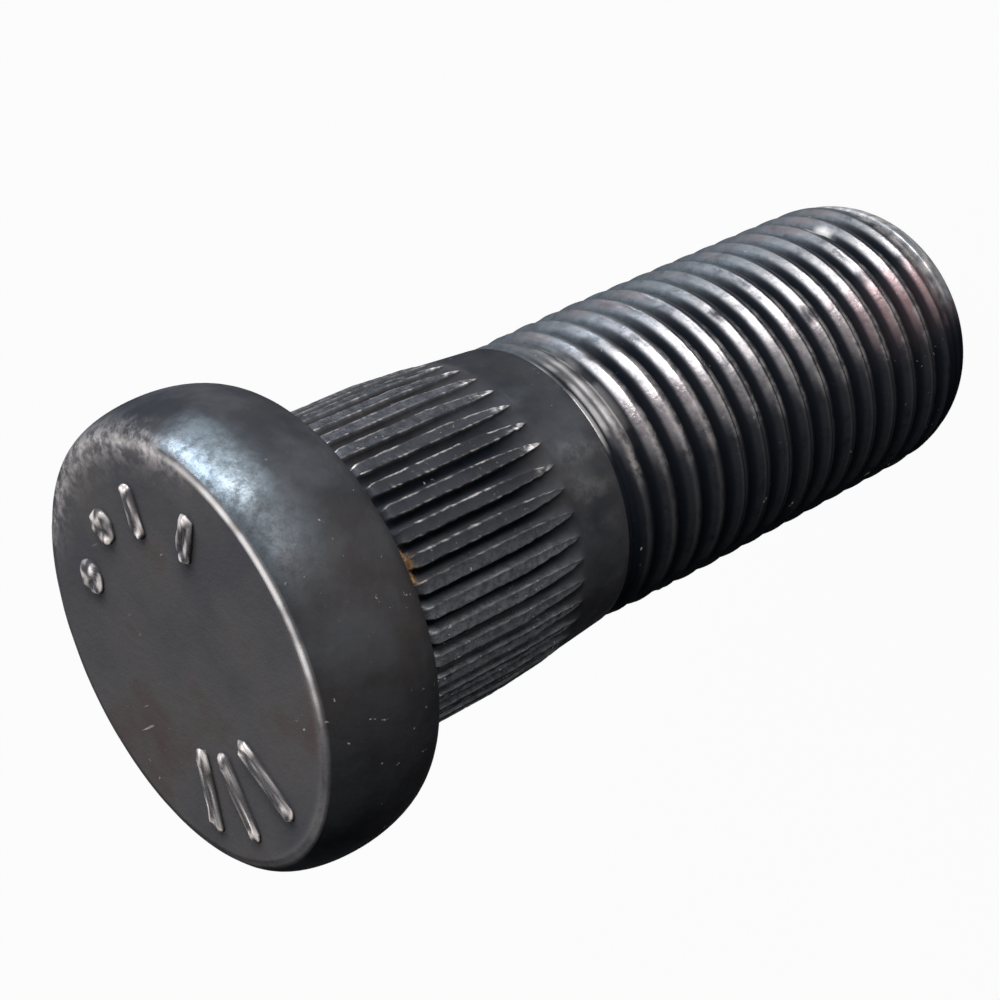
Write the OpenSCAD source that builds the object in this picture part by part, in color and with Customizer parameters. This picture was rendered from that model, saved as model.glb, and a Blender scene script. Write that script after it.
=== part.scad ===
// Wheel stud, head up.
// The stud stands on its threaded end: z = 0 is the flat end of the thread,
// the barrel-shaped head is on top and its seat looks down.

/* [Head] */
// overall length, end of thread to head face
overall_l = 43.6; // [38:0.1:60]
// widest diameter of the barrel-shaped head
head_d = 20.8; // [19:0.1:26]
// diameter of the flat head face
face_d = 18.7; // [16:0.1:18.9]
// thickness of the head, face to seat
head_t = 5.9; // [5:0.1:8]
// distance of the widest place from the face
belly_z = 2.9; // [2:0.1:3.5]
// outer diameter of the flat seat under the head
seat_d = 18.0; // [16.6:0.1:18.8]

/* [Marks] */
// height of the raised marks on the head face
mark_h = 0.25; // [0.1:0.05:0.4]
// width of the raised bars
bar_w = 0.9; // [0.6:0.1:1.2]
// length of the raised bars
bar_l = 3.2; // [2:0.1:4]
// diameter of the raised dots
dot_d = 1.7; // [1:0.1:2.2]
// distance of the marks from the axis
mark_r = 6.3; // [5:0.1:6.8]

/* [Knurl] */
// diameter over the teeth, the press fit in the hub
knurl_d = 14.8; // [14.5:0.05:15.2]
// number of teeth
teeth = 41; // [34:1:44]
// plain neck between the seat and the first of the teeth
neck_l = 1.3; // [0.8:0.1:2.5]
// length of the teeth, rounded start to pointed tip
knurl_l = 8.5; // [7:0.1:9.5]
// length over which the teeth narrow to their tips
tip_l = 3.4; // [2:0.1:4]
// depth of the grooves between the teeth
groove_h = 0.4; // [0.3:0.02:0.5]
// share of the tooth pitch that the flat top takes
land_share = 0.53; // [0.5:0.01:0.68]
// share of the tooth pitch that the groove floor takes
floor_share = 0.14; // [0.08:0.01:0.2]
// turn of the whole knurl about the axis
knurl_turn = 8.5; // [0:0.1:10]

/* [Shoulder] */
// diameter of the shoulder beside the tooth tips
shoulder_top_d = 14.2; // [14.1:0.05:14.3]
// diameter of the shoulder beside the thread
shoulder_end_d = 13.6; // [13.4:0.05:13.8]
// radius of the fillet between neck and seat
fillet_r = 0.5; // [0.2:0.05:0.7]

/* [Thread] */
// diameter over the rounded crests
thread_d = 13.9; // [13.7:0.05:14]
// distance from one crest to the next
pitch = 1.5; // [1.4:0.05:1.6]
// depth from crest to root
thread_h = 0.8; // [0.7:0.02:0.86]
// distance from the head face to the first trace of the thread
thread_from_face = 19.0; // [18.4:0.1:20]
// length over which the thread deepens to its full depth
runout_l = 2.2; // [1:0.1:3]
// length over which the crests rise from the shoulder to their full diameter
crest_l = 7; // [3:0.5:10]
// diameter of the flat end of the thread
end_d = 10.4; // [9:0.1:12]
// length of the rounded lead at the end
lead_l = 3.6; // [2:0.1:4.5]
// turn of the thread about the axis
thread_turn = 45; // [0:5:360]

/* [Hidden] */
$fn = 96;
seat_z = overall_l - head_t;
belly_at = overall_l - belly_z;
teeth_z = seat_z - neck_l;
tip_z = teeth_z - knurl_l;
thread_z = overall_l - thread_from_face;
// the groove floors stand this far proud of the neck
neck_under = 0.05;
floor_r = knurl_d / 2 - groove_h;
neck_r = floor_r - neck_under;
tooth_deg = 360 / teeth;
// length of the rounded start of each tooth
start_l = 0.5;
// how far a cutter stands clear of the surface it cuts
clear = 0.3;
// how far each groove floor rises to leave the shoulder
tip_rise = 0.085;
// distances of the cutter's last sections: where the teeth begin to narrow,
// where they are half as wide, and past the tips
narrow_over = 0.4;
tip_mid = 1.36;
tip_over = 0.5;
// half widths of the cutter's floor and top there, as shares of the tooth pitch
mid_half = [0.24, 0.42];
end_half = [0.42, 0.46];
// rounded corners of the teeth: share of the tooth pitch, and shares of
// start_l over which they end
corner_share = 0.1;
corner_ends = [0.7, 1.6];
// turns of the marks about the axis
bar_turns = [243, 264, 290];
short_bar_turns = [74, 40];
dot_turns = [133, 102];
// how deep the marks are rooted in the face
mark_root = 0.2;
// steps of each rounded part of the profile
round_steps = 8;
// columns of the thread in one turn
cols = 30;
// how far the thread body reaches up inside the shoulder
thread_in = 0.8;
// play between the thread body and the shoulder that takes it
thread_under = 0.05;
// least height of a thread row above or below the flat ends
row_gap = 0.2;
// crest, flanks and root of one pitch: share of the pitch, share of the depth
row_at = [0, 0.19, 0.34, 0.5, 0.66, 0.81];
row_depth = [0, 0.07, 0.32, 1, 0.32, 0.07];
phases = len(row_at);
thread_top = thread_z + thread_in;

// Quarter of an ellipse: leaves [r0, z0] flat and meets [r1, z1] upright.
function quarter(r0, z0, r1, z1) =
    [for (s = [0:round_steps])
        [r0 + (r1 - r0) * sin(90 * s / round_steps),
         z1 + (z0 - z1) * cos(90 * s / round_steps)]];

function backwards(list) = [for (k = [len(list) - 1:-1:0]) list[k]];

// Outline of the turned blank, from the thread end of the shoulder up.
function shoulder_line() =
    [[0, thread_z], [shoulder_end_d / 2, thread_z], [shoulder_top_d / 2, tip_z]];

function knurl_line() = concat(
    [[knurl_d / 2, tip_z + tip_l]],
    backwards(quarter(neck_r, teeth_z, knurl_d / 2, teeth_z - start_l)));

function fillet_line() =
    [for (s = [0:round_steps])
        [neck_r + fillet_r * (1 - cos(90 * s / round_steps)),
         seat_z - fillet_r * (1 - sin(90 * s / round_steps))]];

function head_line() =
    let (back = quarter(seat_d / 2, seat_z, head_d / 2, belly_at),
         front = quarter(face_d / 2, overall_l, head_d / 2, belly_at))
    concat(back, [for (k = [1:round_steps]) backwards(front)[k]], [[0, overall_l]]);

module blank() {
    rotate_extrude()
        polygon(concat(shoulder_line(), knurl_line(), fillet_line(), head_line()));
}

// Cutter of one groove, from the neck down to the tooth tips. Each section
// holds its height, floor radius, half angle at the floor and at the top.
module groove() {
    top_r = knurl_d / 2 + clear;
    floor_half = tooth_deg * floor_share / 2;
    land_half = tooth_deg * (1 - land_share) / 2;
    flank = (land_half - floor_half) / groove_h;
    top_half = floor_half + flank * (groove_h + clear);
    // the teeth have rounded corners at their start and end in points
    corner = tooth_deg * corner_share;
    sections = [
        [teeth_z + clear, floor_r, floor_half + corner, top_half + corner],
        [teeth_z - start_l * corner_ends[0], floor_r,
         floor_half + corner / 4, top_half + corner / 4],
        [teeth_z - start_l * corner_ends[1], floor_r, floor_half, top_half],
        [tip_z + tip_l + narrow_over, floor_r, floor_half, top_half],
        [tip_z + tip_mid, floor_r + tip_rise / 3,
         tooth_deg * mid_half[0], tooth_deg * mid_half[1]],
        [tip_z - tip_over, floor_r + tip_rise,
         tooth_deg * end_half[0], tooth_deg * end_half[1]]];
    n = len(sections);
    points = [for (s = sections) each [
        [s[1] * cos(s[2]), -s[1] * sin(s[2]), s[0]],
        [s[1] * cos(s[2]), s[1] * sin(s[2]), s[0]],
        [top_r * cos(s[3]), top_r * sin(s[3]), s[0]],
        [top_r * cos(s[3]), -top_r * sin(s[3]), s[0]]]];
    sides = [for (k = [0:n - 2]) for (e = [0:3]) each [
        [4 * k + e, 4 * k + 4 + (e + 1) % 4, 4 * k + (e + 1) % 4],
        [4 * k + e, 4 * k + 4 + e, 4 * k + 4 + (e + 1) % 4]]];
    polyhedron(points, concat([[0, 1, 2, 3]], sides,
        [[4 * n - 1, 4 * n - 2, 4 * n - 3, 4 * n - 4]]));
}

// Head, neck, knurl and shoulder: the blank less its grooves.
module knurled_blank() {
    color([0.15, 0.15, 0.17])
        difference() {
            blank();
            for (k = [0:teeth - 1])
                rotate([0, 0, knurl_turn + k * tooth_deg])
                    groove();
        }
}

// Share of its full depth that the thread has at height z.
function runout(z) = min(1, max(0, (thread_z - z) / runout_l));

// Radius of the rounded lead at the end of the thread.
function lead(z) = end_d / 2 + (thread_d - end_d) / 2
    * (z >= lead_l ? 1 : sqrt(1 - pow(1 - z / lead_l, 2)));

// Radius over the crests at height z.
function crest_r(z) = shoulder_end_d / 2
    + (thread_d - shoulder_end_d) / 2 * min(1, max(0, (thread_z - z) / crest_l));

// Radius of a thread row at height z, h being its share of the depth.
function row_r(z, h) = min(lead(z),
    (crest_r(z) - thread_h * h) * runout(z)
    + (shoulder_end_d / 2 - thread_under) * (1 - runout(z)));

// Place of row k within its pitch; rows below the first pitch are negative.
function phase_of(k) = (k + phases) % phases;

// Height of row k in column i; the rows climb one pitch in a turn.
function row_z(i, k) = pitch * (floor(k / phases) + row_at[phase_of(k)] + i / cols);

// Rows of column i that lie between the two flat ends.
function rows_of(i) =
    [for (k = [-phases:ceil(thread_top / pitch) * phases])
        if (row_z(i, k) > row_gap && row_z(i, k) < thread_top - row_gap) k];

// Right-hand thread as one body, each column with one point on either end.
module thread() {
    used = [for (i = [0:cols - 1]) rows_of(i)];
    lows = [for (u = used) u[0]];
    highs = [for (u = used) u[len(u) - 1]];
    sizes = [for (u = used) len(u) + 2];
    starts = [for (i = 0, sum = 0; i < cols; sum = sum + sizes[i], i = i + 1) sum];
    points = [for (i = [0:cols - 1])
        let (a = 360 * i / cols,
             line = concat([[lead(0), 0]],
                 [for (k = used[i]) [row_r(row_z(i, k), row_depth[phase_of(k)]), row_z(i, k)]],
                 [[shoulder_end_d / 2 - 4 * thread_under, thread_top]]))
        each [for (p = line) [p[0] * cos(a), p[0] * sin(a), p[1]]]];
    strips = [for (i = [0:cols - 1])
        let (j = (i + 1) % cols,
             // past the seam the same row has a higher number
             turn = i + 1 == cols ? phases : 0,
             a = starts[i] + 1 - lows[i],
             b = starts[j] + 1 - lows[j] + turn,
             low_b = lows[j] - turn,
             high_b = highs[j] - turn,
             end_a = starts[i] + sizes[i] - 1,
             end_b = starts[j] + sizes[j] - 1)
        each concat(
            [[starts[j], starts[i], a + lows[i]],
             [b + low_b, starts[j], a + lows[i]]],
            low_b < lows[i] ? [[b + lows[i], b + low_b, a + lows[i]]] : [],
            [for (k = [lows[i]:high_b - 1]) each [
                [b + k, a + k, a + k + 1],
                [b + k, a + k + 1, b + k + 1]]],
            highs[i] > high_b ? [[b + high_b, a + high_b, a + highs[i]]] : [],
            [[b + high_b, a + highs[i], end_a],
             [b + high_b, end_a, end_b]])];
    ends = [
        starts,
        backwards([for (i = [0:cols - 1]) starts[i] + sizes[i] - 1])];
    color([0.15, 0.15, 0.17])
        rotate([0, 0, thread_turn])
            polyhedron(points, concat(strips, ends));
}

// One raised bar that points at the axis, at the given turn.
module bar(turn, length) {
    rotate([0, 0, turn])
        translate([mark_r, 0, overall_l - mark_root])
            linear_extrude(mark_root + mark_h) {
                square([length, bar_w], center = true);
                translate([length / 2, 0])
                    circle(d = bar_w);
                translate([-length / 2, 0])
                    circle(d = bar_w);
            }
}

// One raised dot at the given turn.
module dot(turn) {
    rotate([0, 0, turn])
        translate([mark_r, 0, overall_l - mark_root])
            cylinder(h = mark_root + mark_h, d = dot_d);
}

// Plain raised marks of the forging on the face: bars on one side, then
// dots and bars on the other.
module marks() {
    color([0.2, 0.19, 0.19]) {
        for (turn = bar_turns)
            bar(turn, bar_l);
        for (turn = short_bar_turns)
            bar(turn, bar_l / 2);
        for (turn = dot_turns)
            dot(turn);
    }
}

// The whole stud: one forged and rolled piece.
module wheel_stud() {
    union() {
        knurled_blank();
        marks();
        thread();
    }
}

wheel_stud();
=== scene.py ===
import math

import bpy
import numpy as np
from mathutils import Matrix, Vector


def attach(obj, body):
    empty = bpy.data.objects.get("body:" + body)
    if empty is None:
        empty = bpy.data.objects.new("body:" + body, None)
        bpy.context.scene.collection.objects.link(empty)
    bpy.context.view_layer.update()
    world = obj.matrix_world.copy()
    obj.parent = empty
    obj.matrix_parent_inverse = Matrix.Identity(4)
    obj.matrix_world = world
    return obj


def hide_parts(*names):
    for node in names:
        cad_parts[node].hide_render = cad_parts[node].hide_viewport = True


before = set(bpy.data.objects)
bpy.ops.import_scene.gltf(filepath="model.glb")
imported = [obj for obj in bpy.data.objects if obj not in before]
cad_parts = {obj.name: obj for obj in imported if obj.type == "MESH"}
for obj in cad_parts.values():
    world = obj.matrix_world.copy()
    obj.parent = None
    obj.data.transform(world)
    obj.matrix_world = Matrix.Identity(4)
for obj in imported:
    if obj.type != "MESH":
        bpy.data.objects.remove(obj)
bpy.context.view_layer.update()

# Sizes of the CAD source, in millimetres and degrees.
OVERALL_L = 43.6
HEAD_D = 20.8
FACE_D = 18.7
HEAD_T = 5.9
BELLY_Z = 2.9
SEAT_D = 18.0
MARK_H = 0.25
BAR_W = 0.9
BAR_L = 3.2
DOT_D = 1.7
MARK_R = 6.3
BAR_TURNS = (243, 264, 290)
SHORT_BAR_TURNS = (74, 40)
DOT_TURNS = (133, 102)
KNURL_D = 14.8
TEETH = 41
NECK_L = 1.3
KNURL_L = 8.5
TIP_L = 3.4
GROOVE_H = 0.4
KNURL_TURN = 8.5
START_L = 0.5
NECK_UNDER = 0.05
SHOULDER_TOP_D = 14.2
SHOULDER_END_D = 13.6
FILLET_R = 0.5
THREAD_D = 13.9
PITCH = 1.5
THREAD_FROM_FACE = 19.0
RUNOUT_L = 2.2
CREST_L = 7.0
END_D = 10.4
LEAD_L = 3.6

# The thread is turned 60 degrees past the CAD's, where its bright flanks lie as in the photo.
THREAD_TURN = 105

# Heights and radii that follow from them.
SEAT_Z = OVERALL_L - HEAD_T
BELLY_AT = OVERALL_L - BELLY_Z
TEETH_Z = SEAT_Z - NECK_L
TIP_Z = TEETH_Z - KNURL_L
THREAD_Z = OVERALL_L - THREAD_FROM_FACE
FACE_R = FACE_D / 2
END_R = SHOULDER_END_D / 2
FLOOR_R = KNURL_D / 2 - GROOVE_H
NECK_R = FLOOR_R - NECK_UNDER

MM = 0.001
FULL_TURN = 2 * math.pi
rng = np.random.default_rng(7)


def smooth(a, b, x):
    """0 at a, 1 at b, smooth between and level beyond; a may lie above b."""
    t = np.clip((np.asarray(x, float) - a) / (b - a), 0, 1)
    return t * t * (3 - 2 * t)


def bell(distance, width):
    """1 at no distance, falling off over width."""
    return math.exp(-(distance / width) ** 2)


def around(turn, middle_deg, inner_deg, outer_deg):
    """1 within inner_deg of a direction round the axis, 0 beyond outer_deg."""
    return smooth(math.cos(math.radians(outer_deg)), math.cos(math.radians(inner_deg)),
                  np.cos(turn - math.radians(middle_deg)))


class Noise:
    """Smooth seeded noise on a cylinder: a sum of waves along the turn and along the axis."""

    def __init__(self, seed, turn_waves, axis_mm, count=24):
        g = np.random.default_rng(seed)
        self.m = g.integers(-turn_waves, turn_waves + 1, count)
        self.k = g.normal(0, FULL_TURN / axis_mm, count)
        self.p = g.uniform(0, FULL_TURN, count)
        self.a = g.normal(0, 1, count) / math.sqrt(count / 2)

    def __call__(self, turn, z):
        out = np.zeros(np.broadcast(turn, z).shape)
        for m, k, p, a in zip(self.m, self.k, self.p, self.a):
            out += a * np.sin(m * turn + k * z + p)
        return out


lump = Noise(3, 5, 9.0)
fine = Noise(4, 60, 1.6, 60)
nick = Noise(5, 160, 0.9, 80)
slow = Noise(6, 26, 5.0, 40)


def mesh_object(name, verts, quads, zones, caps=()):
    """A mesh from points in millimetres, quads and caps; zones are numbers on its points."""
    me = bpy.data.meshes.new(name)
    me.from_pydata((np.asarray(verts) * MM).tolist(), [], np.asarray(quads).tolist() + list(caps))
    me.validate()
    me.shade_smooth()
    for key, values in zones.items():
        layer = me.attributes.new(key, "FLOAT", "POINT")
        layer.data.foreach_set("value", np.asarray(values, np.float32).reshape(-1))
    ob = bpy.data.objects.new(name, me)
    bpy.context.scene.collection.objects.link(ob)
    return ob


def grid_faces(rows, cols, shift=0):
    """Quads of a grid of rows by cols, closed round; shift moves the last seam by rows."""
    i, j = np.meshgrid(np.arange(rows - 1), np.arange(cols - 1), indexing="ij")
    a = i * cols + j
    quads = np.stack([a, a + 1, a + 1 + cols, a + cols], -1).reshape(-1, 4)
    i = np.arange(rows - 1 - shift)
    last = i * cols + cols - 1
    first = (i + shift) * cols
    seam = np.stack([last, first, first + cols, last + cols], -1)
    return np.concatenate([quads, seam])


# Head, neck, knurl and shoulder as one revolved grid.
POINTS_PER_TOOTH = 12
BODY_COLS = TEETH * POINTS_PER_TOOTH
TOOTH_TURN = FULL_TURN / TEETH


def quarter(r0, z0, r1, z1, n):
    """Points of a quarter ellipse from (r0, z0) to (r1, z1), which is its widest place."""
    t = np.linspace(0, math.pi / 2, n + 1)
    return np.stack([r0 + (r1 - r0) * np.sin(t), z1 + (z0 - z1) * np.cos(t)], 1)


def body_rows():
    """Rows from the face down to the thread end of the shoulder: r, z and the kind of row."""
    rows = [(r, OVERALL_L, "face") for r in (1.0, 2.0, 4.0, 6.0, 7.5, 8.4, 8.75, 8.95, 9.12)]
    rows += [(FACE_R - 0.08, OVERALL_L, "edge"), (FACE_R - 0.02, OVERALL_L - 0.03, "edge")]
    front = quarter(FACE_R, OVERALL_L, HEAD_D / 2, BELLY_AT, 16)[1:]
    rows += [(r, z - 0.02, "edge" if k < 2 else "side") for k, (r, z) in enumerate(front)]
    back = quarter(SEAT_D / 2, SEAT_Z, HEAD_D / 2, BELLY_AT, 14)[::-1][1:]
    rows += [(r, z, "side") for r, z in back]
    rows += [(8.3, SEAT_Z, "seat"), (NECK_R + FILLET_R, SEAT_Z, "seat")]
    for step in range(1, 7):
        a = math.radians(15 * step)
        fillet = (FILLET_R * (1 - math.sin(a)), FILLET_R * (1 - math.cos(a)))
        rows.append((NECK_R + fillet[0], SEAT_Z - fillet[1], "neck"))
    rows.append((NECK_R, TEETH_Z + 0.15, "neck"))
    knurl = np.concatenate([
        TEETH_Z - START_L * (1 - np.cos(np.radians([0, 20, 40, 58, 75, 90]))),
        np.linspace(TEETH_Z - START_L - 0.35, TIP_Z + TIP_L, 30),
        np.linspace(TIP_Z + TIP_L, TIP_Z + 0.8, 20)[1:],
        np.linspace(TIP_Z + 0.8, TIP_Z - 0.3, 14)[1:],
    ])
    rows += [(0.0, float(z), "knurl") for z in knurl]
    rows += [(0.0, float(z), "shoulder") for z in np.linspace(TIP_Z - 0.4, THREAD_Z + 0.12, 12)]
    rows += [(END_R - 0.03, THREAD_Z + 0.03, "end"), (END_R - 0.14, THREAD_Z, "end"),
             (END_R - 1.4, THREAD_Z, "end")]
    return rows


def shoulder_r(z):
    return float(np.interp(z, [THREAD_Z, TIP_Z], [END_R, SHOULDER_TOP_D / 2]))


def knurl_shape(z):
    """Groove half widths at land and floor as shares of the tooth pitch, and radii of land and floor."""
    over = z - TIP_Z
    wide = float(np.interp(over, [-0.2, -0.1, 0.0, 0.12, 0.65, 1.4, 2.8, TIP_L + 0.4],
                           [0.495, 0.47, 0.44, 0.415, 0.36, 0.305, 0.255, 0.245]))
    floor = float(np.interp(over, [-0.25, 0.15, 0.65, 1.4, TIP_L + 0.4], [0.48, 0.36, 0.28, 0.20, 0.12]))
    from_start = TEETH_Z - z
    start = 1 - smooth(0.0, 0.45, from_start)
    wide += 0.07 * start
    floor += 0.05 * start
    meet_r = shoulder_r(TIP_Z - 0.25)
    if from_start < START_L:
        rounding = math.sqrt(max(0.0, 1 - (1 - max(from_start, 0) / START_L) ** 2))
        land_r = NECK_R + (KNURL_D / 2 - NECK_R) * rounding
    else:
        land_r = float(np.interp(over, [-0.25, 0.05, 0.5, TIP_L],
                                 [meet_r, SHOULDER_TOP_D / 2 + 0.04, SHOULDER_TOP_D / 2 + 0.1, KNURL_D / 2]))
    land_r = max(land_r, shoulder_r(z) if z < TIP_Z + 1 else 0)
    floor_r = float(np.interp(over, [-0.25, 0.1, 1.0], [meet_r, FLOOR_R + 0.03, FLOOR_R]))
    return wide, floor, land_r, min(floor_r, land_r)


def row_turns(wide, floor):
    """Directions of a row's points, from the middle of one groove to the next, closer at the lips."""
    left = 0.5 - wide
    u = [0, floor, (floor + wide) / 2, wide - 0.02 * min(1, left / 0.3), wide + 0.06 * left,
         wide + 0.3 * left, 0.5]
    u = np.array(u + [1 - v for v in u[5:0:-1]])
    return (np.arange(TEETH)[:, None] + u[None, :]).reshape(-1) * TOOTH_TURN + math.radians(KNURL_TURN)


def each_tooth(*values):
    """Values for the points of one tooth pitch, repeated for all teeth."""
    return np.tile(np.array(values, float), TEETH)


def knurl_row(z, turn, land_r, floor_r):
    """Radii, directions and two zones of one row across the teeth: scuffed lips and tips with a painted
    highlight on the lit side, and edges and specks with painted glints there.
    """
    drop = land_r - floor_r
    depth_share = min(1, drop / 0.1)
    lip = 0.025 * min(1, drop / 0.3)
    half = [floor_r - 0.02 * min(1, drop / 0.2), floor_r, floor_r + drop * 0.5, land_r - drop * 0.12,
            land_r + lip * 0.3, land_r - lip * 0.7, land_r - lip * 1.4]
    radius = each_tooth(*half, *half[5:0:-1])
    radius = radius - 0.013 * np.clip(nick(turn, 1.3 * z), 0, 1.5) * depth_share
    turn = turn + 0.0016 * nick(turn, 1.3 * z) * depth_share
    wear_and_highlight = each_tooth(0, 0, 0, 0.05, 0.35, 0, 0, 0, 1, 0.2, 0, 0) * min(1, drop / 0.08)
    # Lips are scuffed, and brighter on the lit side as a painted highlight; the tips get a painted highlight
    # there too.
    wear_and_highlight = wear_and_highlight * (0.22 + 0.90 * around(turn, 40, 30, 58))
    wear_and_highlight = wear_and_highlight * np.clip(0.65 + 0.8 * fine(turn, 1.6 * z), 0, 1.3)
    tip = float(smooth(-0.2, 0.0, z - TIP_Z) * (1 - smooth(0.12, 0.35, z - TIP_Z)))
    top = each_tooth(0, 0, 0, 0, 0.6, 1, 1, 1, 0.6, 0, 0, 0)
    wear_and_highlight = np.maximum(wear_and_highlight, tip * around(turn, 42, 26, 36) * top)
    radius = radius + 0.012 * fine(turn, z) * wear_and_highlight + 0.006 * lump(turn, z)
    radius = np.minimum(radius, KNURL_D / 2)
    # Tips and specks on the lit side carry painted glints.
    edge = 0.55 * tip * each_tooth(0, 0, 0, 0.2, 0.7, 1, 1, 1, 0.7, 0.2, 0, 0) * around(turn, 40, 24, 40)
    edge = edge * np.clip(0.4 + 0.8 * fine(turn, 0 * turn), 0, 1.2)
    specks = each_tooth(0, 0, 0, 0.1, 1, 0.1, 0, 0, 1, 0.1, 0, 0) * around(turn, 46, 20, 42)
    specks = 0.65 * specks * np.clip(2.5 * (nick(turn, 3.0 * z) - 1.15), 0, 1) * depth_share
    return radius, turn, wear_and_highlight, np.maximum(edge, specks)


def head_edge(r, z, turn, kind):
    """The edge and core zones round the face: a bright line that is a painted highlight, strongest on the
    lit side, with a brighter painted core there, and softer scuffing at two sides.
    """
    line = bell(math.hypot(r - FACE_R - 0.03, z - OVERALL_L + 0.03), 0.12) if kind == "edge" else 0.0
    soft = bell(math.hypot(r - FACE_R, z - OVERALL_L), 0.26) if kind in ("edge", "face") else 0.0
    edge = line * (0.10 + 0.60 * around(turn, 12, 22, 48))
    side = 0.16 * soft * around(turn, -48, 26, 52)
    edge = np.maximum(edge, side * np.clip(0.9 + 0.2 * slow(turn, z), 0, 1.2))
    side = 0.30 * soft * around(turn, 92, 26, 46)
    edge = np.maximum(edge, side * np.clip(0.5 + 0.5 * slow(turn, z), 0, 1.2))
    uneven = np.clip(0.66 + 0.35 * slow(turn, 0.3 * z) + 0.26 * fine(turn, 0 * turn), 0.12, 1.0)
    return edge, line * (around(turn, 10, 14, 42) * uneven)


def body_row(r, z, kind):
    """Points of one row, and its zones."""
    wide, floor, land_r, floor_r = knurl_shape(z)
    groove = min(1, max(0, land_r - floor_r) / 0.2)
    if kind in ("shoulder", "end"):
        wide, floor = 0.47, 0.44
    elif kind != "knurl":
        wide, floor = knurl_shape(TIP_Z + TIP_L + 1)[:2]
    turn = row_turns(wide, floor)
    wear_and_highlight = 0 * turn
    if kind == "knurl":
        radius, turn, wear_and_highlight, edge = knurl_row(z, turn, land_r, floor_r)
        # A painted highlight of bare metal on the tips near the shoulder, on the lit side.
        bare_and_glint = 0.9 * bell(z - TIP_Z - 0.40, 0.35) * each_tooth(0, 0, 0, 0.3, 1, 1, 0.8, 1, 1, 0.3, 0, 0)
        bare_and_glint = bare_and_glint * around(turn, 38, 24, 40) * np.clip(0.15 + 1.1 * nick(turn, 1.5 * z), 0, 1)
    elif kind == "shoulder":
        radius = shoulder_r(z) + 0.006 * lump(turn, z)
        # A faint painted sheen with specks on the lit side of the shoulder.
        wear_and_highlight = 0.075 * around(turn, 4, 8, 34) * np.clip(0.4 + 0.8 * slow(turn, z), 0, 1)
        wear_and_highlight = wear_and_highlight * float(smooth(TIP_Z, TIP_Z - 1.2, z))
    else:
        radius = r + 0 * turn
    if kind == "side":
        radius = radius - 0.05 * (1 + lump(turn, z)) * 0.5
    burr = np.clip(slow(turn, 0 * turn) + 0.3, 0, 2)
    if kind == "edge":
        radius = radius - 0.015 * burr * (r > FACE_R - 0.1)
    radius = np.minimum(radius, HEAD_D / 2)
    low = 0.06 * np.minimum(burr, 1.4) * around(turn, 98, 25, 50) * (kind == "edge")
    points = np.stack([radius * np.cos(turn), radius * np.sin(turn), z - low], 1)
    if kind != "knurl":
        edge, bare_and_glint = head_edge(r, z, turn, kind)
    if kind in ("edge", "face", "side"):
        gap = math.hypot(r - FACE_R, z - OVERALL_L)
        wear_and_highlight = 0.52 * bell(gap, 0.75) * around(turn, 88, 28, 54) + 0.06 * (kind == "edge")

    # Teeth: their tops are paler on two sides as painted light, and their grooves darker as painted shade,
    # except on the top side.
    painted_light_sides = 0.22 + 0.78 * np.maximum(around(turn, -44, 22, 50), around(turn, 64, 18, 45))
    land = each_tooth(0, 0, 0, 0.6, 1, 1, 1, 1, 1, 1, 0.9, 0.4) * painted_light_sides * (kind == "knurl") * groove
    deep = float(smooth(TIP_Z - 0.2, TIP_Z + 2.4, z)) * (kind == "knurl")
    painted_shade = each_tooth(1, 1, 0.8, 0, 0, 0, 0, 0, 0, 0, 0, 0.4) * (1 - 0.85 * around(turn, 68, 22, 52))
    painted_shade = painted_shade * deep * groove
    # Painted shade over the middle of the knurl, the top of the shoulder and the lower side of the head.
    painted_shade = np.maximum(painted_shade, 0.45 * around(turn, 12, 16, 36) * deep)
    on_shoulder = kind in ("shoulder", "end")
    painted_shade = painted_shade + 0.40 * around(turn, 60, 28, 48) * on_shoulder * float(smooth(TIP_Z, TIP_Z - 0.8, z))
    painted_shade = painted_shade + 0.34 * around(turn, -72, 24, 62) * (kind == "side")

    # The rubbed patch on the head, with a painted bluish reflection on it, a faint painted sheen on the
    # shoulder, and rust on the neck.
    patch = around(turn, 39, 6, 20) * float(smooth(OVERALL_L - 2.6, OVERALL_L - 1.5, z))
    halo = 0.3 * around(turn, 26, 4, 30) * float(smooth(OVERALL_L - 3.4, OVERALL_L - 1.4, z))
    sheen = 0.12 * around(turn, 26, 6, 26) * np.clip(0.5 + 0.5 * slow(turn, z), 0.1, 1)
    rust_z = smooth(TEETH_Z - 0.5, TEETH_Z + 0.3, z) * (1 - smooth(SEAT_Z - 0.2, SEAT_Z + 0.5, z))
    return points, {
        "wear_and_highlight": wear_and_highlight,
        "rust": rust_z * around(turn, -6, 3, 14),
        "edge": np.clip(edge, 0, 1),
        "land": land,
        "painted_shade": painted_shade,
        "face": (kind == "face") + 0 * turn,
        "rub_and_sheen": np.maximum(patch, halo) * (kind == "side") + sheen * on_shoulder,
        "bare_and_glint": bare_and_glint,
    }


built = [body_row(*row) for row in body_rows()]
body = mesh_object(
    "stud_body", np.concatenate([points for points, zones in built]),
    grid_faces(len(built), BODY_COLS)[:, ::-1],
    {key: np.concatenate([zones[key] for points, zones in built]) for key in built[0][1]},
    [list(range(BODY_COLS))])


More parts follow.
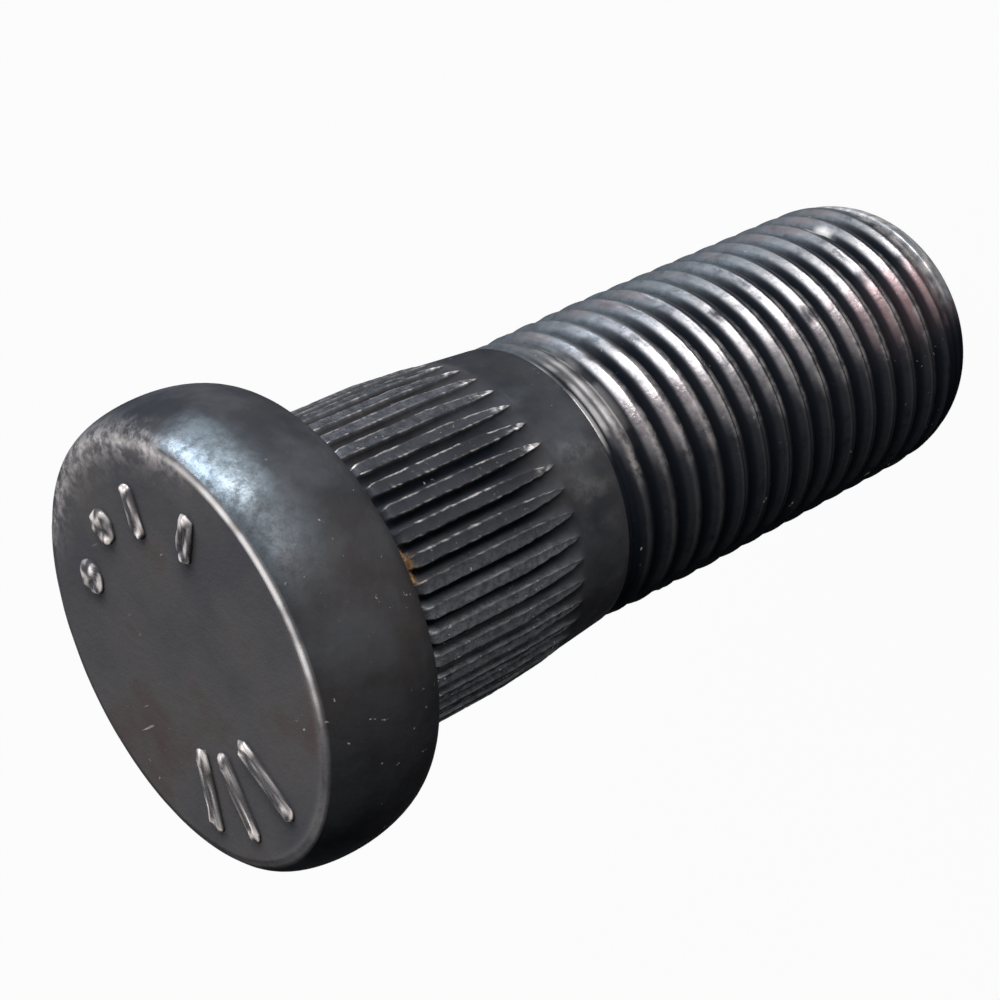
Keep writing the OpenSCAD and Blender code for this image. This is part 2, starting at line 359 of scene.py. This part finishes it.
# Thread as a helical grid that starts at the middle of the end face.
# Profile over one pitch from the crest up towards the head: height, depth, and burnish, which also paints a
# highlight on the slope facing the head.
PROFILE = np.array([
    (0.0, 0.0, 0.5), (0.03, 0.009, 1.0), (0.08, 0.035, 1.0), (0.16, 0.079, 1.0), (0.26, 0.135, 1.0),
    (0.35, 0.186, 0.8), (0.43, 0.234, 0.35), (0.50, 0.285, 0.05), (0.56, 0.36, 0.0), (0.61, 0.46, 0.0),
    (0.66, 0.59, 0.0), (0.71, 0.71, 0.0), (0.75, 0.77, 0.0), (0.79, 0.74, 0.0), (0.84, 0.60, 0.0),
    (0.89, 0.43, 0.0), (0.94, 0.30, 0.0), (1.02, 0.19, 0.0), (1.12, 0.110, 0.0), (1.24, 0.055, 0.0),
    (1.38, 0.014, 0.1)])
THREAD_COLS = 132
# Height of grid that is drawn in to close the end face.
END_STRIP = 1.6

# Nicks and a bruise on the thread: direction round the axis, height and size.
NICKS = [(14, 10.3, 0.24), (19, 6.1, 0.34), (20, 3.1, 0.30), (31, 14.7, 0.26), (47, 21.2, 0.30),
         (12, 21.6, 0.28)]
BRUISE = (50, 5.1, 0.40)
# Heights of one scored line at the run-out, in the shape and in the shine.
SCORE_STEP = 0.21
SHINE_STEP = 0.42


def away(turn, z, spot):
    """Distance on the thread's surface from a spot, over the spot's size."""
    angle = np.angle(np.exp(1j * (turn - math.radians(spot[0]))))
    return np.hypot(angle * THREAD_D / 2, z - spot[1]) / spot[2]


def thread_object():
    """The thread, its run-out and its rounded lead, with the end face."""
    per = len(PROFILE)
    first_turn = -int(math.ceil((PITCH + END_STRIP) / PITCH)) - 1
    last_turn = int(math.ceil((THREAD_Z + 0.5) / PITCH))
    k = np.arange(first_turn * per, last_turn * per)
    level = (np.floor(k / per) + (PROFILE[:, 0] / PITCH)[k % per]) * PITCH
    depth = PROFILE[:, 1][k % per][:, None]
    burnish_and_highlight = PROFILE[:, 2][k % per][:, None]
    col = np.arange(THREAD_COLS)
    z = level[:, None] + PITCH * col[None, :] / THREAD_COLS
    turn = np.broadcast_to(FULL_TURN * col / THREAD_COLS + math.radians(THREAD_TURN), z.shape)

    # Shape: run-out into the shoulder, scored there, and rounded lead.
    share = np.clip((THREAD_Z - z) / RUNOUT_L, 0, 1)
    rise = np.clip((THREAD_Z - z) / CREST_L, 0, 1)
    full = END_R + (THREAD_D - SHOULDER_END_D) / 2 * rise - depth
    radius = full * share + (END_R - 0.05) * (1 - share)
    scored = np.clip((z - THREAD_Z + 2.6) / 0.8, 0, 1) * np.clip(1.1 + slow(turn, 0.5 * z), 0, 1.5)
    radius = radius - 0.012 * scored * (0.5 + 0.5 * np.sin(z * FULL_TURN / SCORE_STEP + lump(turn, z)))
    radius = np.where(z > THREAD_Z, END_R - 0.2, radius)
    lead = END_D + (THREAD_D - END_D) * np.sqrt(np.clip(1 - np.clip(1 - z / LEAD_L, 0, 1) ** 2, 0, 1))
    lead = lead / 2
    radius = np.minimum(radius, lead)
    crestness = np.clip(1 - depth / 0.1, 0, 1) * (radius < lead - 0.002)

    # Nicks, a bruise and fine dents in the crests.
    nicks = np.clip(sum(np.exp(-away(turn, z, spot) ** 2) for spot in NICKS), 0, 1)
    bruise = away(turn, z, BRUISE)
    dent = 0.16 * np.clip(nicks + np.exp(-bruise ** 2), 0, 1)
    dent = dent + 0.08 * np.clip(nick(turn, z) - 1.1, 0, 1) + 0.03 * np.clip(fine(turn, z) - 1.1, 0, 1)
    radius = radius - dent * np.clip(1 - depth / 0.3, 0, 1) * (radius < lead - 0.01)
    ridge = 0.05 * np.clip(1 - depth / 0.07, 0, 1) * (radius < lead - 0.002)
    radius = np.where(z < 0, np.clip(END_D / 2 * (1 + z / END_STRIP), 0, None), radius)
    flank = burnish_and_highlight * share * (radius < lead - 0.01)
    points = np.stack([radius * np.cos(turn), radius * np.sin(turn), np.clip(z, 0, None)], -1)

    # Zones: heat tint, scored run-out and worn lead, with painted highlights on the lit side of flanks,
    # run-out and lead, painted sheen on the top, and painted shade over the rest.
    warm = (0.6 + 0.4 * np.clip(0.5 + lump(turn, z), 0, 1)) * around(turn, 0, 2, 24)
    warm = warm * (0.22 + 0.78 * smooth(10, 5, z))
    warm = np.maximum(warm, 0.7 * around(turn, 78, 6, 30) * np.clip(0.4 + lump(turn, 3 * z), 0, 1))
    # Flanks are brightened most on the lit side of the turn, a painted highlight, and in one more used zone.
    used_and_lit = 0.10 + 0.90 * np.maximum(around(turn, 32, 26, 48), around(turn, 190, 30, 75))
    # The scored run-out shines on the lit side only, a painted highlight over real scoring.
    score_and_shine = smooth(-2.2, -1.2, z - THREAD_Z) * around(turn, 26, 16, 30)
    score_and_shine = score_and_shine * np.clip(0.75 + 0.5 * slow(turn, 2 * z), 0.15, 1) * (z < THREAD_Z + 0.1)
    score_and_shine = score_and_shine * (0.5 + 0.5 * np.sin(z * FULL_TURN / SHINE_STEP + 0.6 * lump(turn, z)))
    # The lead is worn and grainy, and brighter on the lit side as painted highlights and sheen.
    tail = smooth(3.0, 1.9, z) * smooth(-0.1, 0.5, z) * around(turn, 24, 22, 44)
    tail = tail * np.clip(0.55 + 0.5 * nick(turn, z), 0.2, 1)
    score_and_shine = np.maximum(score_and_shine, 0.9 * tail)
    grainy = 0.80 * smooth(2.9, 1.9, z) * smooth(-0.1, 0.6, z) * around(turn, 38, 22, 48)
    grainy = grainy * np.clip(0.7 + 0.4 * fine(turn, z), 0.2, 1)
    blunt_lead_sheen = 0.70 * smooth(2.6, 1.4, z) * smooth(-0.1, 0.3, z) * around(turn, 45, 35, 62)
    ring = 0.6 * np.exp(-((bruise - 0.8) / 0.6) ** 2)
    bare_and_lit = np.maximum(0.40 * score_and_shine * (z > THREAD_Z - 2.2), ring)
    return mesh_object("stud_thread", points.reshape(-1, 3), grid_faces(len(k), THREAD_COLS, per), {
        # Painted highlights on the crests and the grainy lead, on the lit side.
        "wear_and_highlight": np.maximum(crestness * 0.42 * around(turn, 6, 12, 26), grainy),
        # A painted reflection along the crest line, strongest on the underside.
        "edge": ridge * (0.05 + 0.95 * around(turn, -8, 36, 66)),
        # Painted shade over the thread, lifted on its top side.
        "painted_shade": 1 - 0.80 * around(turn, 88, 20, 58) * (1 - nicks),
        # Painted sheen on the top of the thread and on the lead's lit side.
        "rub_and_sheen": np.maximum(0.40 * around(turn, 84, 16, 46), blunt_lead_sheen),
        "warm": warm,
        "bare_and_glint": np.maximum(bare_and_lit, 0.22 * grainy),
        "crest": np.maximum(flank * used_and_lit, score_and_shine) * (1 - 0.8 * nicks),
    })


thread = thread_object()


# Raised marks on the face, low rough bars and dots.
LUMPS = [(1 / 3, FULL_TURN / rng.uniform(0.35, 0.9) * math.cos(w),
          FULL_TURN / rng.uniform(0.35, 0.9) * math.sin(w), rng.uniform(0, 6))
         for w in rng.uniform(0, FULL_TURN, 9)]
# Rings of a mark from its foot up: share of its width, and height.
MARK_RINGS = [(1.0, -0.1), (0.96, 0.05), (0.90, 0.15), (0.80, 0.21), (0.62, 0.235), (0.40, 0.22),
              (0.18, 0.215)]
MARK_COLS = 44


def lumps(x, y):
    """Smooth lumps a few tenths of a millimetre wide."""
    return sum(a * np.sin(kx * x + ky * y + p) for a, kx, ky, p in LUMPS)


def turned(x, y, t):
    return x * math.cos(t) - y * math.sin(t), x * math.sin(t) + y * math.cos(t)


def mark(turn_deg, length, width):
    """Points and bright share of a bar that points at the axis, or of a dot where length is 0."""
    a = FULL_TURN * np.arange(MARK_COLS) / MARK_COLS
    wobble = np.interp(a, np.linspace(0, FULL_TURN, 15), np.append(rng.normal(0, 1, 14), 0))
    rough = 1 + (0.07 if length else 0.035) * wobble
    t = math.radians(turn_deg)
    points, bright = [], []
    for ring, h in MARK_RINGS:
        reach = ring * width / 2 * (rough if ring > 0.3 else 1)
        x = reach * np.cos(a) + np.clip(4 * np.cos(a), -1, 1) * length / 2 * (0.6 + 0.4 * ring)
        y = reach * np.sin(a)
        px, py = turned(x, y, t)
        bump = (0.045 * lumps(px + turn_deg, py) - 0.02) * (0.1 < h)
        ends = np.clip(np.abs(x) / (length / 2 + width / 2) * 2.2 - 1.2, 0, 1)
        glint = np.clip(0.25 + 1.0 * ends ** 2 + 0.7 * lumps(px, py + turn_deg), 0, 1)
        bright.append((h > 0.12) * glint * np.interp(ring, [0.18, 0.4, 0.7], [0.45, 0.65, 1.0]))
        top = np.clip(OVERALL_L + h + bump, None, OVERALL_L + MARK_H)
        points.append(np.stack([*turned(x + MARK_R, y, t), top], 1))
    return np.concatenate(points), np.concatenate(bright)


all_marks = [mark(t, BAR_L, BAR_W) for t in BAR_TURNS]
all_marks += [mark(t, BAR_L / 2, BAR_W) for t in SHORT_BAR_TURNS]
all_marks += [mark(t, 0, DOT_D) for t in DOT_TURNS]
mark_points = np.concatenate([points for points, bright in all_marks])
bases = np.arange(len(all_marks)) * len(MARK_RINGS) * MARK_COLS
marks = mesh_object(
    "face_marks", mark_points,
    np.concatenate([grid_faces(len(MARK_RINGS), MARK_COLS) + base for base in bases]),
    {"edge": np.concatenate([bright for points, bright in all_marks]),
     # Painted shade darkens the foot of each mark.
     "painted_shade": np.interp(mark_points[:, 2], [OVERALL_L, OVERALL_L + 0.16], [0.85, 0.0]),
     "face": np.ones(len(mark_points))},
    [(base + (len(MARK_RINGS) - 1) * MARK_COLS + np.arange(MARK_COLS)).tolist() for base in bases])


# Materials.
class Nodes:
    """Small helper that adds linked nodes to one node tree."""

    def __init__(self, tree):
        self.tree = tree
        self.coord = None

    def add(self, kind, **settings):
        node = self.tree.nodes.new(kind)
        for key, value in settings.items():
            setattr(node, key, value)
        return node

    def put(self, value, socket):
        """Sets a number or colour on a socket, or links an output to it."""
        if isinstance(value, (int, float)):
            socket.default_value = value
        elif isinstance(value, tuple):
            socket.default_value = (*value, 1)
        else:
            self.tree.links.new(value, socket)

    def zone(self, name):
        return self.add("ShaderNodeAttribute", attribute_name=name).outputs["Fac"]

    def noise(self, scale, detail=4.0, rough=0.6, coord=None):
        node = self.add("ShaderNodeTexNoise")
        self.put(float(scale), node.inputs["Scale"])
        self.put(float(detail), node.inputs["Detail"])
        self.put(rough, node.inputs["Roughness"])
        self.put(coord or self.coord, node.inputs["Vector"])
        return node.outputs["Fac"]

    def ramp(self, value, *stops):
        """A ramp through stops of position and colour, or of position and grey."""
        node = self.add("ShaderNodeValToRGB")
        elements = node.color_ramp.elements
        while len(elements) < len(stops):
            elements.new(0.5)
        for element, (position, colour) in zip(elements, stops):
            element.position = position
            element.color = (*(colour if isinstance(colour, tuple) else (colour,) * 3), 1)
        self.put(value, node.inputs["Fac"])
        return node.outputs["Color"]

    def math(self, operation, a, b, clamp=False):
        node = self.add("ShaderNodeMath", operation=operation, use_clamp=clamp)
        self.put(a, node.inputs[0])
        self.put(b, node.inputs[1])
        return node.outputs[0]

    def times(self, a, b, clamp=False):
        return self.math("MULTIPLY", a, b, clamp)

    def plus(self, a, b):
        return self.math("ADD", a, b)

    def most(self, first, *others):
        for other in others:
            first = self.math("MAXIMUM", first, other)
        return first

    def mix(self, share, a, b):
        node = self.add("ShaderNodeMix", data_type="RGBA")
        self.put(share, node.inputs["Factor"])
        self.put(a, node.inputs[6])
        self.put(b, node.inputs[7])
        return node.outputs[2]

    def shiny_or_seen(self):
        """1 for camera, glossy and transmission rays."""
        path = self.add("ShaderNodeLightPath").outputs
        return self.most(path["Is Camera Ray"], path["Is Glossy Ray"], path["Is Transmission Ray"])


def new_material(name):
    material = bpy.data.materials.new(name)
    material.use_nodes = True
    return material, Nodes(material.node_tree), material.node_tree.nodes["Principled BSDF"].inputs


# Colours of the steel, from the oxide to bare metal and rust, and the tones of painted shade, sheen and
# highlights.
OXIDE = [(0.34, (0.024, 0.027, 0.034)), (0.5, (0.038, 0.038, 0.042)), (0.68, (0.052, 0.046, 0.044))]
OXIDE_CLOUD = (0.068, 0.070, 0.077)
OXIDE_MID = (0.030, 0.030, 0.032)
TOOTH_TOP_LIT = (0.118, 0.123, 0.135)
TOOTH_GRAIN = (0.030, 0.032, 0.037)
FACE = [(0.38, (0.083, 0.081, 0.087)), (0.54, (0.103, 0.096, 0.095)), (0.66, (0.092, 0.071, 0.067))]
PAINTED_SHADE_TONE = (0.008, 0.010, 0.014)
FLANK = [(0.34, (0.088, 0.090, 0.100)), (0.50, (0.170, 0.170, 0.177))]
HEAT_TINT = (0.21, 0.118, 0.122)
RUBBED_SHEEN = (0.172, 0.205, 0.230)
WORN_LIT_TONE = (0.52, 0.48, 0.47)
EDGE_AND_GLINT = (0.62, 0.575, 0.555)
BARE_METAL_AND_HIGHLIGHT = (0.86, 0.82, 0.80)
SPECKS = (0.35, 0.33, 0.33)
RUST = [(0.40, (0.13, 0.055, 0.03)), (0.66, (0.50, 0.29, 0.09))]


def black_oxide():
    """Worn black-oxide steel; the zones on the meshes say where it is scuffed, rubbed or rusty, and where
    shade, sheen, reflections and highlights are painted on.
    """
    material, n, shader = new_material("black_oxide_steel")
    n.coord = n.add("ShaderNodeTexCoord").outputs["Object"]
    broad = n.noise(140, 3, 0.55)
    mid = n.noise(700, 5, 0.65)
    small = n.noise(3200, 3, 0.6)
    crest, edge, rub_and_sheen, land, bare_and_lit = (n.zone(name) for name in ("crest", "edge", "rub_and_sheen", "land", "bare_and_glint"))
    rust = n.zone("rust")

    # Oxide, mottled, with the teeth's tops lightened by painted light, the face, and painted shade.
    cloud = n.ramp(n.noise(330, 4, 0.6), (0.42, 0.0), (0.66, 0.85))
    colour = n.mix(cloud, n.ramp(broad, *OXIDE), OXIDE_CLOUD)
    colour = n.mix(n.times(mid, 0.3), colour, OXIDE_MID)
    colour = n.mix(n.times(land, 0.85), colour, TOOTH_TOP_LIT)
    grain = n.ramp(n.noise(2600, 4, 0.8), (0.38, 0.0), (0.60, 0.75))
    colour = n.mix(n.times(land, grain), colour, TOOTH_GRAIN)
    colour = n.mix(n.zone("face"), colour, n.ramp(broad, *FACE))
    colour = n.mix(n.zone("painted_shade"), colour, PAINTED_SHADE_TONE)

    # Thread flanks, burnished and brightened on the lit side as a painted highlight, and partly tinted by
    # heat.
    warm = n.zone("warm")
    flank = n.mix(n.times(warm, 0.65), n.ramp(n.noise(1100, 4, 0.7), *FLANK), HEAT_TINT)
    colour = n.mix(n.most(crest, n.times(warm, 0.10)), colour, flank)

    # Rubbed patches with a painted bluish reflection, worn edges with painted highlights broken up by noise,
    # and bare metal with painted glints.
    sheen_mottle = n.times(rub_and_sheen, n.ramp(n.noise(1900, 5, 0.75), (0.36, 0.40), (0.58, 1.0)), clamp=True)
    colour = n.mix(sheen_mottle, colour, RUBBED_SHEEN)
    worn_and_lit = n.times(n.zone("wear_and_highlight"), n.ramp(n.noise(1500, 3, 0.7), (0.42, 0.15), (0.60, 1.0)), clamp=True)
    colour = n.mix(worn_and_lit, colour, WORN_LIT_TONE)
    colour = n.mix(edge, colour, EDGE_AND_GLINT)
    colour = n.mix(bare_and_lit, colour, BARE_METAL_AND_HIGHLIGHT)

    # Specks, dust on the teeth and flanks, and short scratches.
    specks = n.ramp(small, (0.70, 0.0), (0.74, 1.0))
    specks = n.times(specks, n.ramp(broad, (0.5, 0.0), (0.62, 0.8)))
    dust = n.ramp(n.noise(5200, 2, 0.5), (0.66, 0.0), (0.70, 0.7))
    dust = n.times(dust, n.plus(land, n.times(crest, 0.6)), clamp=True)
    dust = n.times(dust, n.ramp(n.noise(600, 2), (0.46, 0.0), (0.60, 1.0)))
    stretch = n.add("ShaderNodeMapping")
    stretch.inputs["Rotation"].default_value = (0.5, 0.9, 0.4)
    stretch.inputs["Scale"].default_value = (260, 2600, 2600)
    n.put(n.coord, stretch.inputs["Vector"])
    lines = n.ramp(n.noise(1, 2, 0.5, stretch.outputs["Vector"]), (0.74, 0.0), (0.78, 0.8))
    lines = n.times(lines, n.ramp(n.noise(500, 1), (0.52, 0.0), (0.6, 1.0)))
    specks = n.most(specks, dust, lines)
    colour = n.mix(specks, colour, SPECKS)

    # Rust in the corner under the head, in flakes.
    flakes = n.plus(n.times(n.noise(900, 6, 0.75), 2.2), n.times(rust, 0.40))
    flakes = n.times(n.math("SUBTRACT", flakes, 1.27), 6.0, clamp=True)
    flakes = n.times(flakes, rust, clamp=True)
    colour = n.mix(flakes, colour, n.ramp(n.noise(2300, 3, 0.6), *RUST))
    n.put(colour, shader["Base Color"])

    # Gloss: worn and lit places are smoother and metallic, rust and the bare glinting rims less so.
    bright = n.most(crest, worn_and_lit, specks, edge, sheen_mottle)
    rough = n.mix(bright, n.ramp(mid, (0.3, 0.42), (0.7, 0.54)), n.ramp(mid, (0.3, 0.26), (0.7, 0.42)))
    n.put(n.mix(sheen_mottle, rough, (0.40, 0.40, 0.40)), shader["Roughness"])
    metal = n.plus(n.times(bright, 0.75), n.plus(n.times(land, 0.45), 0.06))
    dull = n.most(flakes, n.times(bare_and_lit, 0.8))
    n.put(n.times(metal, n.math("SUBTRACT", 1.0, dull, clamp=True), clamp=True), shader["Metallic"])
    n.put(0.0, shader["Specular IOR Level"])
    n.put((0.15, 0.15, 0.15), shader["Specular Tint"])

    # Fine grain.
    bump = n.add("ShaderNodeBump")
    n.put(0.55, bump.inputs["Strength"])
    n.put(0.00007, bump.inputs["Distance"])
    relief = n.plus(n.times(mid, 0.6), n.times(small, 0.4))
    n.put(n.plus(relief, n.times(n.noise(9000, 2, 0.6), 0.12)), bump.inputs["Height"])
    n.put(bump.outputs["Normal"], shader["Normal"])
    return material


steel = black_oxide()
for ob in (body, thread, marks):
    ob.data.materials.append(steel)
    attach(ob, "root")
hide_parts("wheel_stud")

# Floor, white for the camera and for shiny rays but keeping the shadow.
FLOOR_HALF = 3.0
FLOOR_WHITE = 0.96
floor_mesh = bpy.data.meshes.new("floor")
corners = [(-1, -1), (1, -1), (1, 1), (-1, 1)]
floor_mesh.from_pydata([(x * FLOOR_HALF, y * FLOOR_HALF, 0) for x, y in corners], [], [(0, 1, 2, 3)])
floor = bpy.data.objects.new("floor", floor_mesh)
bpy.context.scene.collection.objects.link(floor)
material, n, shader = new_material("floor_white")
n.put((0.30, 0.30, 0.30), shader["Base Color"])
n.put(0.9, shader["Roughness"])
white = n.add("ShaderNodeEmission")
n.put((1, 1, 1), white.inputs["Color"])
n.put(1.0, white.inputs["Strength"])
blend = n.add("ShaderNodeMixShader")
n.put(n.times(n.shiny_or_seen(), FLOOR_WHITE), blend.inputs[0])
n.put(n.tree.nodes["Principled BSDF"].outputs[0], blend.inputs[1])
n.put(white.outputs[0], blend.inputs[2])
n.put(blend.outputs[0], n.tree.nodes["Material Output"].inputs["Surface"])
floor_mesh.materials.append(material)

# World, faint light on the object and white to the same rays.
world = bpy.data.worlds.new("studio")
bpy.context.scene.world = world
world.use_nodes = True
n = Nodes(world.node_tree)
faint = n.tree.nodes["Background"]
n.put((0.9, 0.95, 1.0), faint.inputs["Color"])
n.put(0.08, faint.inputs["Strength"])
white = n.add("ShaderNodeBackground")
n.put((1, 1, 1), white.inputs["Color"])
blend = n.add("ShaderNodeMixShader")
n.put(n.shiny_or_seen(), blend.inputs[0])
n.put(faint.outputs[0], blend.inputs[1])
n.put(white.outputs[0], blend.inputs[2])
n.put(blend.outputs[0], n.tree.nodes["World Output"].inputs["Surface"])

# Lamps, all aimed at the middle of the stud.
LAMP_TARGET = Vector((0, 0, 0.02))


def area(name, direction, distance, size, power, colour):
    """A rectangular lamp: direction from the target, metres, watts."""
    light = bpy.data.lights.new(name, "AREA")
    light.shape = "RECTANGLE"
    light.size, light.size_y = size
    light.energy = power
    light.color = colour
    lamp = bpy.data.objects.new(name, light)
    towards = Vector(direction).normalized()
    lamp.location = LAMP_TARGET + towards * distance
    lamp.rotation_euler = (-towards).to_track_quat("-Z", "Y").to_euler()
    bpy.context.scene.collection.objects.link(lamp)


area("key", (0.71, 0.61, 0.24), 0.5, (0.34, 0.11), 2.9, (1.0, 0.98, 0.97))
area("sky", (0.10, 0.88, 0.38), 0.5, (0.26, 0.20), 1.9, (0.78, 0.88, 1.0))
area("fill", (-0.80, 0.10, 0.57), 0.6, (0.5, 0.5), 1.4, (1.0, 0.98, 0.98))

# Camera at the photograph's viewing angle.
AZIMUTH, ELEVATION, ROLL = (math.radians(v) for v in (0.55, 34.73, -115.66))
EYE_MM = (83.56, 0.89, 83.97)
FOCAL_PX = 2255.0
IMAGE_PX = 1000
SENSOR_MM = 36.0
back = Vector((math.cos(AZIMUTH) * math.cos(ELEVATION), math.sin(AZIMUTH) * math.cos(ELEVATION),
               math.sin(ELEVATION)))
right = Vector((-math.sin(AZIMUTH), math.cos(AZIMUTH), 0))
up = back.cross(right)
cam_x = right * math.cos(ROLL) + up * math.sin(ROLL)
cam_y = -right * math.sin(ROLL) + up * math.cos(ROLL)
lens = bpy.data.cameras.new("camera")
lens.sensor_fit = "HORIZONTAL"
lens.sensor_width = SENSOR_MM
lens.lens = FOCAL_PX * SENSOR_MM / IMAGE_PX
lens.clip_start = 0.01
camera = bpy.data.objects.new("camera", lens)
camera.matrix_world = Matrix(
    [(cam_x[i], cam_y[i], back[i], EYE_MM[i] * MM) for i in range(3)] + [(0, 0, 0, 1)])
bpy.context.scene.collection.objects.link(camera)
bpy.context.scene.camera = camera
bpy.context.scene.view_settings.view_transform = "Standard"
